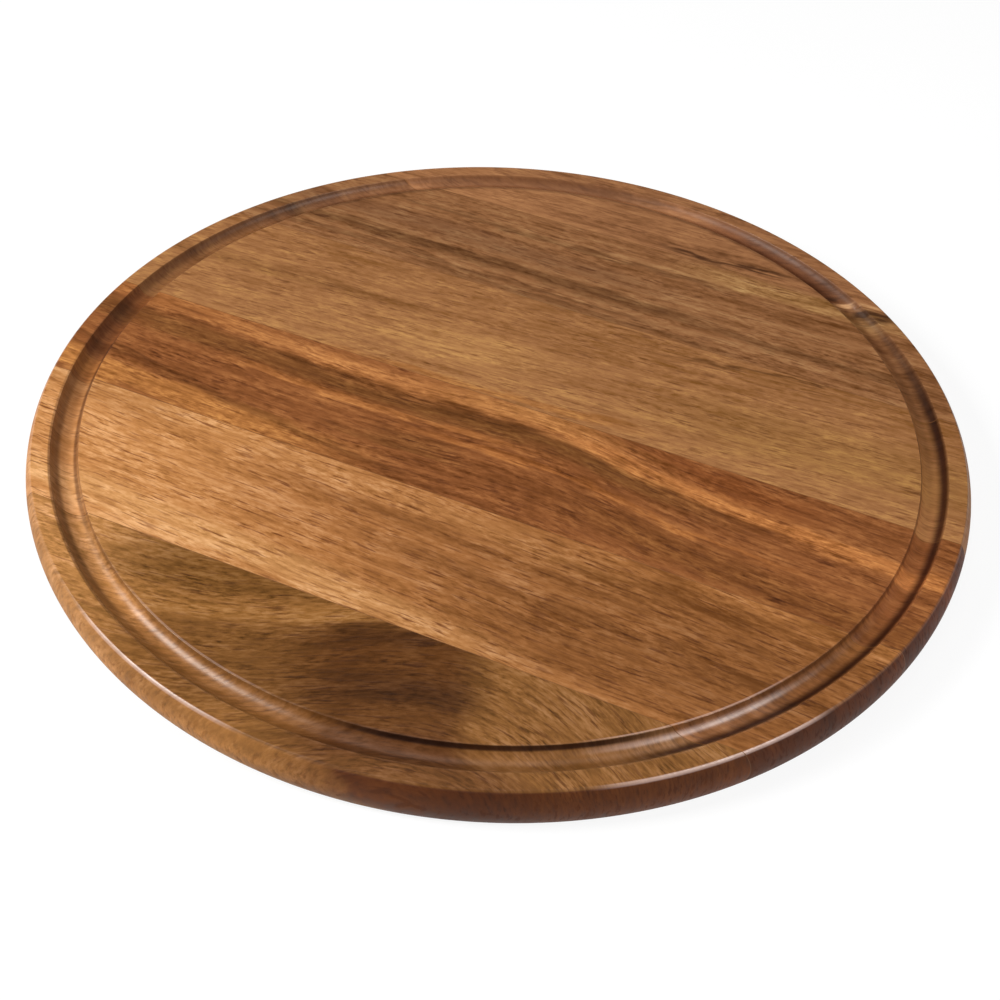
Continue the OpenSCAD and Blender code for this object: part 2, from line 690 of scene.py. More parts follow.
class EffectGroup:
    """A shader node group under construction, with named inputs and outputs."""

    def __init__(self, name: str, inputs: dict[str, float | None], outputs: tuple[str, ...]) -> None:
        """Makes the group and its sockets.

        Args:
            name: The group's name.
            inputs: Its inputs with their usual values, or None for a vector.
            outputs: Its outputs, all plain values.
        """
        self.tree = bpy.data.node_groups.new(name, "ShaderNodeTree")
        for label, usual in inputs.items():
            kind = "NodeSocketVector" if usual is None else "NodeSocketFloat"
            socket = self.tree.interface.new_socket(name=label, in_out="INPUT", socket_type=kind)
            if usual is not None:
                socket.default_value = usual
        for label in outputs:
            self.tree.interface.new_socket(name=label, in_out="OUTPUT", socket_type="NodeSocketFloat")
        self.canvas = NodeCanvas(self.tree)
        self.inputs = self.tree.nodes.new("NodeGroupInput").outputs
        self.result = self.tree.nodes.new("NodeGroupOutput").inputs

    def put_out(self, **values: Source) -> None:
        """Links the outputs, whose names have _ for a space here."""
        for label, source in values.items():
            self.canvas.plug(self.result[label.replace("_", " ")], source)


def grain_flow_group(wander_length: float = 75.0, wander_width: float = 24.0) -> bpy.types.NodeTree:
    """Bends the board's coordinates along the grain.

    Across is y - tilt * x - bump * exp(-((x - centre) / length)^2) * exp(-((y - line) / reach)^2) and a
    slow wander of the fibres, so that a line of equal Across is one fibre.

    Args:
        wander_length: Length of one swing of the wander along X.
        wander_width: How far across it one swing reaches.

    Returns:
        The group, whose outputs are in millimetres.
    """
    group = EffectGroup("GrainFlow", {
        "Position": None, "Tilt": 0.0, "Bump Height": 0.0, "Bump Centre": 0.0, "Bump Length": 80.0,
        "Bump Line": 0.0, "Bump Reach": 40.0, "Wander": 1.5, "Seed": 0.0,
    }, ("Along", "Across", "Depth"))
    canvas, given = group.canvas, group.inputs
    along, across, depth = canvas.split(given["Position"])

    def bell(value: Source, middle: Source, width: Source) -> Socket:
        """exp(-((value - middle) / width)^2) as nodes."""
        off = canvas.over(canvas.less(value, middle), width)
        return canvas.math("EXPONENT", canvas.times(off, off, -1.0))

    lift = canvas.times(
        given["Bump Height"],
        bell(along, given["Bump Centre"], given["Bump Length"]),
        bell(across, given["Bump Line"], given["Bump Reach"]))
    slow = canvas.join(
        canvas.over(along, wander_length),
        canvas.sum(canvas.over(across, wander_width), given["Seed"]),
        canvas.over(depth, wander_width))
    swing = canvas.less(canvas.noise(slow, detail=2.0, roughness=0.5), NOISE_MIDDLE)
    straight = canvas.less(canvas.less(across, canvas.times(along, given["Tilt"])), lift)
    bent = canvas.sum(straight, canvas.times(swing, given["Wander"]))
    group.put_out(Along=along, Across=bent, Depth=depth)
    return group.tree


class MarkShape(Enum):
    """How the noise of a grain mark becomes the mark."""

    EVEN = "rises evenly from low to high"
    SOFT = "rises smoothly from low to high"
    CROSSING = "shows where the noise is within high of its middle"


@dataclass(frozen=True)
class GrainMark:
    """One kind of mark in the wood, as noise drawn out along the grain.

    Attributes:
        name: Its name among the wood figure's outputs.
        length: Length of a mark along the grain.
        width: Its width, or None for the width of the stave's own streaks.
        shift: Where in the noise it starts.
        detail: How many finer noises it has.
        roughness: How strong those are.
        low: Value of the noise at which it starts to show.
        high: Value at which it shows in full.
        shape: How the noise becomes the mark.
    """

    name: str
    length: float
    width: float | None
    shift: float
    detail: float
    roughness: float
    low: float
    high: float
    shape: MarkShape = MarkShape.EVEN


GRAIN_MARKS = (
    GrainMark("Bands", 120.0, 9.0, 3.7, 3.0, 0.5, 0.34, 0.66),
    GrainMark("Streaks", 32.0, None, 11.3, 3.0, 0.6, 0.34, 0.66),
    GrainMark("Mottle", 14.0, 5.0, 17.9, 2.0, 0.5, 0.32, 0.68),
    GrainMark("Lines", 70.0, 7.0, 31.7, 4.0, 0.55, 0.0, 0.035, MarkShape.CROSSING),
    GrainMark("Flecks", 3.6, 1.1, 23.9, 3.0, 0.65, 0.3, 0.7),
    GrainMark("Pores", 9.0, 0.85, 41.1, 1.5, 0.5, 0.54, 0.66, MarkShape.SOFT),
)


def wood_figure_group(depth_share: float = 0.3, depth_shift: float = -2.7) -> bpy.types.NodeTree:
    """The marks that all the staves share, each from 0 to 1.

    Each is noise drawn out along the grain: broad growth bands, narrower streaks, blotches of mottle,
    thin dark lines where a slow noise crosses its middle, short flecks, and the dark dashes of cut
    pores, which show as dots on end grain.

    Args:
        depth_share: How fast the marks change with height, against how fast they do across the grain.
        depth_shift: Height in the noise at which the underside lies.

    Returns:
        The group, whose lengths are in millimetres.
    """
    group = EffectGroup("WoodFigure", {
        "Along": 0.0, "Across": 0.0, "Depth": 0.0, "Seed": 0.0, "Streak Width": 2.6,
    }, tuple(mark.name for mark in GRAIN_MARKS))
    canvas, given = group.canvas, group.inputs
    depth = canvas.linear(given["Depth"], depth_share, depth_shift)
    for mark in GRAIN_MARKS:
        width = given["Streak Width"] if mark.width is None else mark.width
        noise = canvas.noise(canvas.join(
            canvas.sum(canvas.over(given["Along"], mark.length), mark.shift),
            canvas.sum(canvas.over(given["Across"], width), given["Seed"], mark.shift),
            canvas.over(depth, width)), mark.detail, mark.roughness)
        if mark.shape is MarkShape.CROSSING:
            off = canvas.math("ABSOLUTE", canvas.less(noise, NOISE_MIDDLE))
            found = canvas.falling(off, mark.low, mark.high)
        elif mark.shape is MarkShape.SOFT:
            found = canvas.rising(noise, mark.low, mark.high)
        else:
            found = canvas.stretch(noise, mark.low, mark.high)
        group.put_out(**{mark.name: found})
    return group.tree


def streak_band_group() -> bpy.types.NodeTree:
    """One streak of other colour that follows the grain, from 0 outside to 1 inside.

    The mask is 1 where Across is within half the width of line + lean * x, and where x is between
    start + slant * (Across - line) and end + slant * (Across - line), each with a soft border.

    Returns:
        The group, whose lengths are in millimetres.
    """
    group = EffectGroup("StreakBand", {
        "Along": 0.0, "Across": 0.0, "Line": 0.0, "Lean": 0.0, "Half Width": 3.0, "Border": 1.0,
        "Start": -200.0, "Start Border": 20.0, "End": 200.0, "End Border": 20.0, "Slant": 0.0,
    }, ("Mask",))
    canvas, given = group.canvas, group.inputs

    def rise(first: Source, second: Source, border: Source) -> Socket:
        """From 0 to 1 as the first less the second goes from minus the border to plus the border."""
        return canvas.rising(canvas.less(first, second), canvas.times(border, -1.0), border)

    line = canvas.linear(given["Along"], given["Lean"], given["Line"])
    off = canvas.less(given["Across"], line)
    along = canvas.less(given["Along"], canvas.times(off, given["Slant"]))
    group.put_out(Mask=canvas.times(
        rise(given["Half Width"], canvas.math("ABSOLUTE", off), given["Border"]),
        rise(along, given["Start"], given["Start Border"]),
        rise(given["End"], along, given["End Border"])))
    return group.tree


@dataclass(frozen=True)
class Sector:
    """A stretch of the board's round, seen from its middle.

    Attributes:
        direction: Degrees from X to its middle.
        reach: Degrees from there to where it has faded out. It is full over the nearer half.
        amount: How much of an effect it gets.
    """

    direction: float
    reach: float
    amount: float = 1.0


class RoundPlace:
    """Where on the round board the shaded point lies, as nodes."""

    def __init__(self, canvas: NodeCanvas, position: Socket) -> None:
        """Takes the position apart and works out its radius."""
        self.canvas = canvas
        self.x, self.y, self.z = canvas.split(position)
        self.radius = canvas.math(
            "SQRT", canvas.sum(canvas.times(self.x, self.x), canvas.times(self.y, self.y)))

    def towards(self, degrees: float) -> Socket:
        """Cosine of the angle, seen from the board's middle, between the point and a direction from X."""
        turn = math.radians(degrees)
        reach = self.canvas.sum(
            self.canvas.times(self.x, math.cos(turn)), self.canvas.times(self.y, math.sin(turn)))
        return self.canvas.over(reach, self.radius)

    def within(self, *sectors: Sector) -> Socket:
        """The highest amount that the given sectors have at the point."""
        amounts = []
        for sector in sectors:
            faded, full = math.cos(math.radians(sector.reach)), math.cos(math.radians(sector.reach / 2))
            mask = self.canvas.rising(self.towards(sector.direction), faded, full)
            amounts.append(self.canvas.times(mask, sector.amount))
        return self.canvas.highest(*amounts)


@dataclass(frozen=True)
class TurnedWearAndShade:
    """Where the cutter, the sandpaper and the oil have changed the wood, and where shade and light are
    painted on.

    Places in the groove are distances outwards from its middle, and places on the edge are distances
    inwards from the rim. A stripe says where it starts, is full, starts to fade and ends. A pair is the
    two ends of a change, or what holds outside a mask and what holds inside it.

    Attributes:
        section: The section that the board is turned to.
        upper, half, far_back: Where the top's wear, one half of the board and its far back set in.
        front, left_front, dry_back: The front of the groove, the part left of it, and the back left.
        left_gleam, right_gleam, left_share: Where the two lamps show, and how bright the left one's painted
        highlight is.
        band_lowest, band_drop, band_shift: Direction in which the outer wall's band of painted shade lies
        lowest, and how far outwards it moves there and all round.
        band_start, band_rise, band_end, band_fade, band_strength: Where the band starts, over what it
            rises, where it starts to fade, over what it does and how dark it is, outside the left front
            quarter and inside it.
        band_dry: How much of the band there is outside the places where it is eased and inside them.
        line_rise, line_fade, line_softness: Where the inner wall's line of painted shade starts and is full,
        where it starts to fade outside the front and at it, and over what it does.
        line_strength, line_front: How dark it is outside and inside the places that shine, and in front.
        lines: Further lines of painted shade, each with its sector.
        groove_reach, bottom_reach, bottom_strength: Where the groove and its deepest line end, and how
        dark the painted shade on that line is outside the far back and at it.
        soaked, pale, glints, glint_rise: Where painted shade darkens the groove, where painted light
        brightens it, where painted glints brighten only its outer half, and where that half sets in.
        side, arris, arris_polish: Where the rounded side ends, the sanded edge of the top, and how
            polished that is all round.
        end_grain, level: How far the surface faces X for end grain, and up for clear grain.
        groove_clear, side_clear: How clearly the grain shows in the groove and on the side.
        brow, brow_gleam, hollow, hollow_gleam: The groove's inner edge and the stripe of its inner wall
        that get painted highlights of the lamps, and how bright those are.
        rubbed_reach, rubbed_strength, rubbed_gleam: Where the rubbed groove ends, and how polished it is
            in the front half, in the back half and where it shows the right lamp.
    """

    section: BoardSection
    upper: Span = (9.0, 10.5)
    half: Span = (-60.0, 60.0)
    far_back: Span = (60.0, 120.0)
    front: Sector = Sector(293.0, 21.0)
    left_front: Sector = Sector(262.0, 24.0)
    dry_back: Sector = Sector(152.0, 66.0)
    left_gleam: Sector = Sector(253.0, 14.0)
    right_gleam: Sector = Sector(317.0, 15.0)
    left_share: float = 0.6
    band_lowest: float = 292.0
    band_drop: float = -2.0
    band_shift: float = -0.35
    band_start: Span = (0.9, 1.7)
    band_rise: Span = (2.9, 1.7)
    band_end: Span = (4.3, 5.0)
    band_fade: Span = (1.1, 0.6)
    band_strength: Span = (1.0, 0.65)
    band_dry: Span = (1.0, 0.3)
    line_rise: Span = (-4.75, -4.4)
    line_fade: Span = (-4.2, -4.0)
    line_softness: float = 0.5
    line_strength: Span = (0.42, 0.15)
    line_front: float = 0.95
    lines: tuple[tuple[Stripe, Sector], ...] = (
        ((-4.4, -3.6, -3.1, -2.2), Sector(206.0, 28.0, 0.65)),
        ((-6.6, -5.2, -4.2, -3.0), Sector(102.0, 56.0, 0.42)),
    )
    groove_reach: Span = (4.0, 4.9)
    bottom_reach: Span = (0.4, 2.6)
    bottom_strength: Span = (0.2, 0.8)
    # Sectors in which painted shade darkens the groove
    soaked: tuple[Sector, ...] = (
        Sector(67.0, 18.0, 1.4), Sector(110.0, 18.0, 0.9), Sector(141.0, 18.0, 0.7), Sector(176.0, 40.0, 0.6))
    # Sectors of painted light in the groove, and of painted glints on its outer half
    pale: tuple[Sector, ...] = (Sector(0.0, 22.0), Sector(255.0, 24.0))
    glints: tuple[Sector, ...] = (Sector(81.0, 9.0), Sector(135.0, 12.0))
    glint_rise: Span = (0.6, 2.4)
    side: Span = (1.9, 2.3)
    arris: Stripe = (1.7, 2.0, 2.5, 2.9)
    arris_polish: float = 0.25
    end_grain: Span = (0.15, 0.95)
    level: Span = (0.3, 0.98)
    groove_clear: float = 0.65
    side_clear: float = 0.6
    brow: Stripe = (-5.3, -5.05, -4.8, -4.55)
    brow_gleam: float = 0.6
    hollow: Stripe = (-4.0, -3.3, -2.8, -2.0)
    hollow_gleam: float = 0.4
    rubbed_reach: Span = (4.9, 5.3)
    rubbed_strength: Span = (0.32, 0.12)
    rubbed_gleam: float = 0.75

    def dark_walls(self, canvas: NodeCanvas, place: RoundPlace, out: Socket) -> Socket:
        """Painted shade on the groove's walls.

        The band on the outer wall is broadest at the left front. It moves with the square of the cosine
        of the angle from the direction in which it lies lowest.

        Args:
            canvas: The group's nodes.
            place: The shaded point's place.
            out: Its distance outwards from the groove's middle.

        Returns:
            The mask, from 0 to 1.
        """
        front, left_front = place.within(self.front), place.within(self.left_front)
        broad = canvas.times(canvas.falling(place.x, *self.half), canvas.falling(place.y, *self.half))
        lowest = canvas.highest(place.towards(self.band_lowest), 0.0)
        shift = canvas.linear(canvas.times(lowest, lowest), self.band_drop, self.band_shift)
        start = canvas.sum(canvas.between(broad, *self.band_start), shift)
        usual_end, broad_end = self.band_end
        fade = canvas.between(broad, canvas.sum(shift, usual_end), broad_end)
        eased = canvas.highest(
            canvas.rising(place.y, *self.far_back), place.within(self.dry_back), front, left_front)
        band = canvas.times(
            canvas.stripe(
                out, start, canvas.sum(start, canvas.between(broad, *self.band_rise)),
                fade, canvas.sum(fade, canvas.between(broad, *self.band_fade))),
            canvas.between(broad, *self.band_strength),
            canvas.between(eased, *self.band_dry))
        line_fade = canvas.between(front, *self.line_fade)
        shining = canvas.highest(left_front, place.within(self.right_gleam))
        line = canvas.times(
            canvas.stripe(out, *self.line_rise, line_fade, canvas.sum(line_fade, self.line_softness)),
            canvas.between(front, canvas.between(shining, *self.line_strength), self.line_front))
        return canvas.highest(band, line, *(
            canvas.times(canvas.stripe(out, *stripe), place.within(sector)) for stripe, sector in self.lines))

    def build(self) -> bpy.types.NodeTree:
        """Makes the node group, whose outputs go from 0 to about 1.

        Wall is painted shade on the groove's walls. Bottom is painted shade along its deepest line
        and Groove all of it, Soak painted shade in parts of it and Pale painted light in others.
        Side is the rounded side of the board. End Grain is how squarely the surface cuts the fibres and Clear
        how clearly the grain shows. Polish is where the edge and the groove are rubbed smooth, and
        Gleam where painted highlights lie on them.

        Returns:
            The group, whose lengths are in millimetres.
        """
        group = EffectGroup("TurnedWearAndShade", {"Position": None, "Normal": None}, (
            "Wall", "Bottom", "Soak", "Pale", "Groove", "Polish", "Gleam", "Side", "End Grain", "Clear"))
        canvas = group.canvas
        place = RoundPlace(canvas, group.inputs["Position"])
        facing_x, _, facing_z = canvas.split(group.inputs["Normal"])
        out = canvas.less(place.radius, self.section.groove_middle)
        away = canvas.math("ABSOLUTE", out)
        from_rim = canvas.less(self.section.radius, place.radius)
        upper = canvas.rising(place.z, *self.upper)
        groove = canvas.times(canvas.falling(away, *self.groove_reach), upper)
        side = canvas.falling(from_rim, *self.side)
        arris = canvas.stripe(from_rim, *self.arris)
        left_gleam, right_gleam = place.within(self.left_gleam), place.within(self.right_gleam)

        far_back = canvas.rising(place.y, *self.far_back)
        # Painted shade along the groove's deepest line, strongest at the far back
        bottom = canvas.times(
            canvas.falling(away, *self.bottom_reach), upper, canvas.between(far_back, *self.bottom_strength))
        # Painted glints on the groove's outer half
        glint = canvas.times(place.within(*self.glints), canvas.rising(out, *self.glint_rise))
        level = canvas.rising(canvas.math("ABSOLUTE", facing_z), *self.level)
        clear = canvas.highest(
            canvas.between(groove, level, self.groove_clear), canvas.times(side, self.side_clear))
        # Painted highlights of the lamps on the inner edge, the inner wall and the top's edge
        brow = canvas.times(canvas.stripe(out, *self.brow), upper, self.brow_gleam)
        shining = canvas.highest(canvas.times(left_gleam, self.left_share), right_gleam)
        hollow = canvas.times(canvas.stripe(out, *self.hollow), upper, right_gleam, self.hollow_gleam)
        rubbed_half = canvas.between(canvas.rising(place.y, *self.half), *self.rubbed_strength)
        rubbed = canvas.times(
            canvas.falling(away, *self.rubbed_reach), upper,
            canvas.highest(rubbed_half, canvas.times(right_gleam, self.rubbed_gleam)))
        polished = canvas.highest(left_gleam, right_gleam, self.arris_polish)
        # The masks for the walls, the bottom and parts of the groove are painted shade, the paler groove is
        # painted light, and the shine is a painted highlight
        group.put_out(
            Wall=canvas.times(self.dark_walls(canvas, place, out), upper),
            Bottom=bottom,
            Soak=canvas.times(groove, place.within(*self.soaked)),
            Pale=canvas.times(groove, canvas.highest(place.within(*self.pale), glint)),
            Groove=groove,
            Polish=canvas.highest(canvas.times(arris, polished), rubbed),
            Gleam=canvas.highest(canvas.times(canvas.highest(arris, brow), shining), hollow),
            Side=side,
            End_Grain=canvas.rising(canvas.math("ABSOLUTE", facing_x), *self.end_grain),
            Clear=clear)
        return group.tree


@dataclass(frozen=True)
class GrainBump:
    """A place where the fibres swing out of line.

    Attributes:
        height: How far they swing, towards the back.
        centre: X of the middle of the swing.
        length: Its half length along X.
        line: Y of the fibre that swings most.
        reach: How far across the swing fades.
    """

    height: float = 0.0
    centre: float = 0.0
    length: float = 80.0
    line: float = 0.0
    reach: float = 40.0

    def sockets(self) -> dict[str, float]:
        """Its values, by the names of the grain flow's inputs."""
        return {f"Bump {name.title()}": value for name, value in asdict(self).items()}


@dataclass(frozen=True)
class Streak:
    """A streak of other colour in a stave, placed one by one.

    Attributes:
        colour: Its display colour.
        strength: How much of it shows, from 0 to 1.
        line: Y of its middle where x is 0, along the bent grain.
        half_width: Half its width.
        start: X at which it begins.
        end: X at which it ends.
        lean: How far it climbs for each millimetre along X.
        border: Softness of its sides.
        start_border: Softness of its left end.
        end_border: Softness of its right end.
        slant: How far its ends lean to the right for each millimetre towards the back.
        frayed: Whether the stave's streaks fray its borders.
    """

    colour: str
    strength: float
    line: float
    half_width: float
    start: float = -200.0
    end: float = 200.0
    lean: float = 0.0
    border: float = 1.5
    start_border: float = 20.0
    end_border: float = 20.0
    slant: float = 0.0
    frayed: bool = True

    def sockets(self) -> dict[str, float]:
        """Its place and shape, by the names of the streak band's inputs."""
        values = asdict(self)
        for name in ("colour", "strength", "frayed"):
            del values[name]
        return {name.replace("_", " ").title(): value for name, value in values.items()}


@dataclass(frozen=True)
class WoodFinish:
    """The oiled wood of one stave.

    Attributes:
        name: The material's name.
        dark: Display colour of its darkest grain.
        base: Display colour of most of it.
        light: Display colour of its lightest grain.
        seed: Where in the noise its figure starts.
        tilt: Slope of its grain.
        bump: Where its grain swings out of line.
        bands: How much the growth bands change the tone.
        streaks: How much the streaks do.
        mottle: How much the blotches do.
        lines: How much the thin dark lines do.
        flecks: How much the flecks do.
        pores: How dark the pores are.
        drift: Change of tone from the left end to the right end, partly the wood's own and partly painted
            light.
        slope_across: Change of tone from the front edge to the back edge.
        streak_width: Width of its streaks.
        ragged: How far the streaks fray the borders of the listed ones.
        wander: How far the fibres wander from a straight line.
        side_stain: How dark the painted shade makes its rounded side at the right, from 0 to 1.
        side_from: X from which the side is that dark.
        side_light: How much lighter painted light makes its rounded side than its top, from 0 to 1.
        marks: The listed streaks, in the order in which they lie on each other.
    """

    name: str
    dark: str
    base: str
    light: str
    seed: float
    tilt: float = 0.0
    bump: GrainBump = GrainBump()
    bands: float = 0.22
    streaks: float = 0.2
    mottle: float = 0.1
    lines: float = 0.1
    flecks: float = 0.18
    pores: float = 0.5
    drift: float = 0.0
    slope_across: float = 0.0
    streak_width: float = 2.4
    ragged: float = 2.5
    wander: float = 4.0
    side_stain: float = 0.0
    side_from: float = 0.0
    side_light: float = 0.0
    marks: tuple[Streak, ...] = ()


@dataclass(frozen=True)
class WearAndShadeLayer:
    """How one of the wear masks, which include painted shade and painted light, colours the wood.

    Attributes:
        mask: Its name among the turned wear's outputs.
        share: How much of it shows where the mask is full.
        factor: What it multiplies the wood's colour by.
    """

    mask: str
    share: float
    factor: Colour


@dataclass(frozen=True)
class StaveNodes:
    """What one stave's material is made with.

    Attributes:
        canvas: The material's nodes.
        finish: The stave's colours and figure.
        flow: Outputs of the grain flow.
        figure: Outputs of the wood figure.
        wear: Outputs of the turned wear, with the painted shade and light.
    """

    canvas: NodeCanvas
    finish: WoodFinish
    flow: bpy.types.NodeOutputs
    figure: bpy.types.NodeOutputs
    wear: bpy.types.NodeOutputs

    def swing(self, mark: str, amount: float) -> Socket:
        """How far a mark of the figure is from its middle, times an amount."""
        return self.canvas.times(self.canvas.less(self.figure[mark], NOISE_MIDDLE), amount)


@dataclass(frozen=True)
class WoodShop:
    """Makes the staves' materials from the effects that they share.

    A pair is the two ends of a change, or what holds outside a mask and what holds inside it.

    Attributes:
        section: The section that the board is turned to.
        grain_flow, wood_figure, streak_band, turned_wear: The node groups of the shared effects.
        clarity: How much of the grain shows where it is least clear and where it is clearest.
        tone_gain: How much of the dark or the light colour one step of tone mixes in.
        fleck_patches: How strong the flecks are where there is no mottle.
        pore_colour, pore_patches: What the pores multiply the colour by, and how much of that there is
            between the blotches and on them.
        layers: How the wear, the painted shade and the painted light colour the wood.
        gleam_share, gleam_colour: How much of the painted highlight shows, and its colour.
        stain_climb, stain_fray, stain_border, stain_colour: How far left the side's painted shade goes for
        each millimetre up, how far the mottle frays it, where it starts and is full from where the finish
        says, and what it multiplies the colour by.
        lit_along, lit_heights, lit_low, lit_stained, lit_colour: Where the painted light on the side sets in
        along X, between which heights it fades, how much of it there is above and below those, and outside
        and inside the painted shade, and what it multiplies the colour by.
        roughness, rough_flecks, rough_pores, rough_wear: How matt the wood is, and what the flecks, the
            pores and the wear add to that.
        bump_strength, bump_depth, fleck_height, bump_groove: How much of the relief shows, how deep the
            pores are, how high the flecks are against that, and how much of it there is outside the
            groove and inside it.
        specular, gloss_tint: How much the oil reflects, and in what colour.
        polish, polish_flecks, polish_roughness, polish_ior: How thick the polish is, how much of it
            there is between the flecks and on them, how matt it is, and its index of refraction.
    """

    section: BoardSection
    grain_flow: bpy.types.NodeTree
    wood_figure: bpy.types.NodeTree
    streak_band: bpy.types.NodeTree
    turned_wear: bpy.types.NodeTree
    clarity: Span = (0.2, 1.0)
    tone_gain: float = 2.0
    fleck_patches: float = 0.5
    pore_colour: Colour = linear_colour("8a6040")
    pore_patches: Span = (0.35, 1.25)
    layers: tuple[WearAndShadeLayer, ...] = (
        WearAndShadeLayer("End Grain", 0.3, linear_colour("a07c58")),
        # Painted light in parts of the groove
        WearAndShadeLayer("Pale", 0.7, (1.45, 1.45, 1.45, 1.0)),
        # Painted shade in parts of the groove
        WearAndShadeLayer("Soak", 0.5, linear_colour("a07c58")),
        # Painted shade along the groove's deepest line
        WearAndShadeLayer("Bottom", 0.7, linear_colour("a07c58")),
        # Painted shade on the groove's walls
        WearAndShadeLayer("Wall", 0.95, linear_colour("4f2e16")),
    )
    gleam_share: float = 0.55
    gleam_colour: Colour = linear_colour("e2beb0")
    stain_climb: float = 0.6
    stain_fray: float = 12.0
    stain_border: Span = (-6.0, 10.0)
    stain_colour: Colour = linear_colour("a68668")
    lit_along: Span = (-100.0, -40.0)
    lit_heights: Span = (7.0, 12.5)
    lit_low: Span = (0.35, 1.0)
    lit_stained: Span = (1.0, 0.75)
    lit_colour: Colour = (2.3, 2.3, 2.25, 1.0)
    roughness: float = 0.34
    rough_flecks: float = 0.10
    rough_pores: float = 0.10
    rough_wear: tuple[tuple[str, float], ...] = (("End Grain", 0.06), ("Soak", 0.12), ("Side", 0.2))
    bump_strength: float = 0.15
    bump_depth: float = 0.12
    fleck_height: float = 0.5
    bump_groove: Span = (1.0, 0.7)
    specular: float = 0.3
    gloss_tint: Colour = (1.0, 0.88, 0.78, 1.0)
    polish: float = 0.8
    polish_flecks: Span = (0.25, 0.75)
    polish_roughness: float = 0.4
    polish_ior: float = 1.6

    def material(self, finish: WoodFinish, y_low: float, y_high: float) -> bpy.types.Material:
        """Makes one stave's oiled wood.

        Args:
            finish: Its colours and figure.
            y_low: Y of the stave's front edge.
            y_high: Y of its back edge.

        Returns:
            The material.
        """
        material, canvas = new_material(finish.name)
        coordinates = canvas.add("TexCoord").outputs
        position = canvas.add(
            "VectorMath", {0: coordinates["Object"], "Scale": 1 / MM}, operation="SCALE").outputs[0]
        flow = canvas.use(self.grain_flow, {
            "Position": position, "Tilt": finish.tilt, "Wander": finish.wander, "Seed": finish.seed,
            **finish.bump.sockets(),
        })
        figure = canvas.use(self.wood_figure, {
            "Along": flow["Along"], "Across": flow["Across"], "Depth": flow["Depth"], "Seed": finish.seed,
            "Streak Width": finish.streak_width,
        })
        wear = canvas.use(self.turned_wear, {"Position": position, "Normal": coordinates["Normal"]})
        nodes = StaveNodes(canvas, finish, flow, figure, wear)
        colour = self.wood_colour(nodes, (y_low + y_high) / 2, y_high - y_low)
        rough = canvas.sum(
            self.roughness,
            nodes.swing("Flecks", self.rough_flecks),
            canvas.times(figure["Pores"], self.rough_pores),
            *(canvas.times(wear[mask], amount) for mask, amount in self.rough_wear))
        relief = canvas.less(canvas.times(figure["Flecks"], self.fleck_height), figure["Pores"])
        bump = canvas.add("Bump", {
            "Strength": self.bump_strength, "Distance": self.bump_depth * MM,
            "Height": canvas.times(relief, canvas.between(wear["Groove"], *self.bump_groove)),
        })
        patches = canvas.sum(canvas.between(figure["Flecks"], *self.polish_flecks), figure["Mottle"])
        shader = canvas.add("BsdfPrincipled", {
            "Base Color": self.worn_colour(nodes, colour), "Roughness": rough, "Normal": bump.outputs[0],
            "Specular IOR Level": self.specular, "Specular Tint": self.gloss_tint,
            "Coat Weight": canvas.times(patches, wear["Polish"], self.polish),
            "Coat Roughness": self.polish_roughness, "Coat IOR": self.polish_ior,
        })
        canvas.add("OutputMaterial", {"Surface": shader.outputs[0]})
        return material

    def wood_colour(self, nodes: StaveNodes, middle: float, width: float) -> Socket:
        """The colour of the planed wood, with its grain and its listed streaks.

        Args:
            nodes: What the material is made with.
            middle: Y of the stave's middle.
            width: The stave's width.

        Returns:
            The colour.
        """
        canvas, finish, flow, figure = nodes.canvas, nodes.finish, nodes.flow, nodes.figure
        frayed = canvas.sum(
            flow["Across"], nodes.swing("Streaks", finish.ragged), nodes.swing("Mottle", finish.ragged))
        colour = linear_colour(finish.base)
        for mark in finish.marks:
            across = frayed if mark.frayed else flow["Across"]
            band = canvas.use(
                self.streak_band, {"Along": flow["Along"], "Across": across, **mark.sockets()})
            share = canvas.times(band["Mask"], mark.strength)
            colour = canvas.mix(share, colour, linear_colour(mark.colour))
        flecks = canvas.times(
            nodes.swing("Flecks", finish.flecks * 2), canvas.sum(figure["Mottle"], self.fleck_patches))
        grain = canvas.sum(
            nodes.swing("Bands", finish.bands * 2),
            nodes.swing("Streaks", finish.streaks * 2),
            nodes.swing("Mottle", finish.mottle * 2),
            flecks,
            canvas.times(figure["Lines"], -finish.lines))
        tone = canvas.sum(
            canvas.times(grain, canvas.between(nodes.wear["Clear"], *self.clarity)),
            # The drift along X is partly the wood's own tone and partly painted light
            canvas.times(flow["Along"], finish.drift / (2 * self.section.radius)),
            canvas.times(canvas.less(flow["Across"], middle), finish.slope_across / width))
        for gain, target in ((-self.tone_gain, finish.dark), (self.tone_gain, finish.light)):
            share = canvas.times(tone, gain)
            colour = canvas.mix(share, colour, shade_of(target, finish.base), "MULTIPLY")
        return colour

    def worn_colour(self, nodes: StaveNodes, colour: Socket) -> Socket:
        """Colours the pores and the end grain, and paints light, shade and highlights on the side, the groove
        and the edges.

        Args:
            nodes: What the material is made with.
            colour: The planed wood's colour.

        Returns:
            The colour.
        """
        canvas, finish, flow, wear = nodes.canvas, nodes.finish, nodes.flow, nodes.wear
        pores = canvas.times(
            nodes.figure["Pores"], wear["Clear"],
            canvas.between(nodes.figure["Mottle"], *self.pore_patches), finish.pores)
        colour = canvas.mix(pores, colour, self.pore_colour, "MULTIPLY")
        # Border of the side's painted shade, climbing leftwards and frayed by the mottle
        border = canvas.sum(
            flow["Along"], canvas.times(flow["Depth"], self.stain_climb),
            nodes.swing("Mottle", self.stain_fray))
        shade_place = canvas.rising(border, *(finish.side_from + edge for edge in self.stain_border))
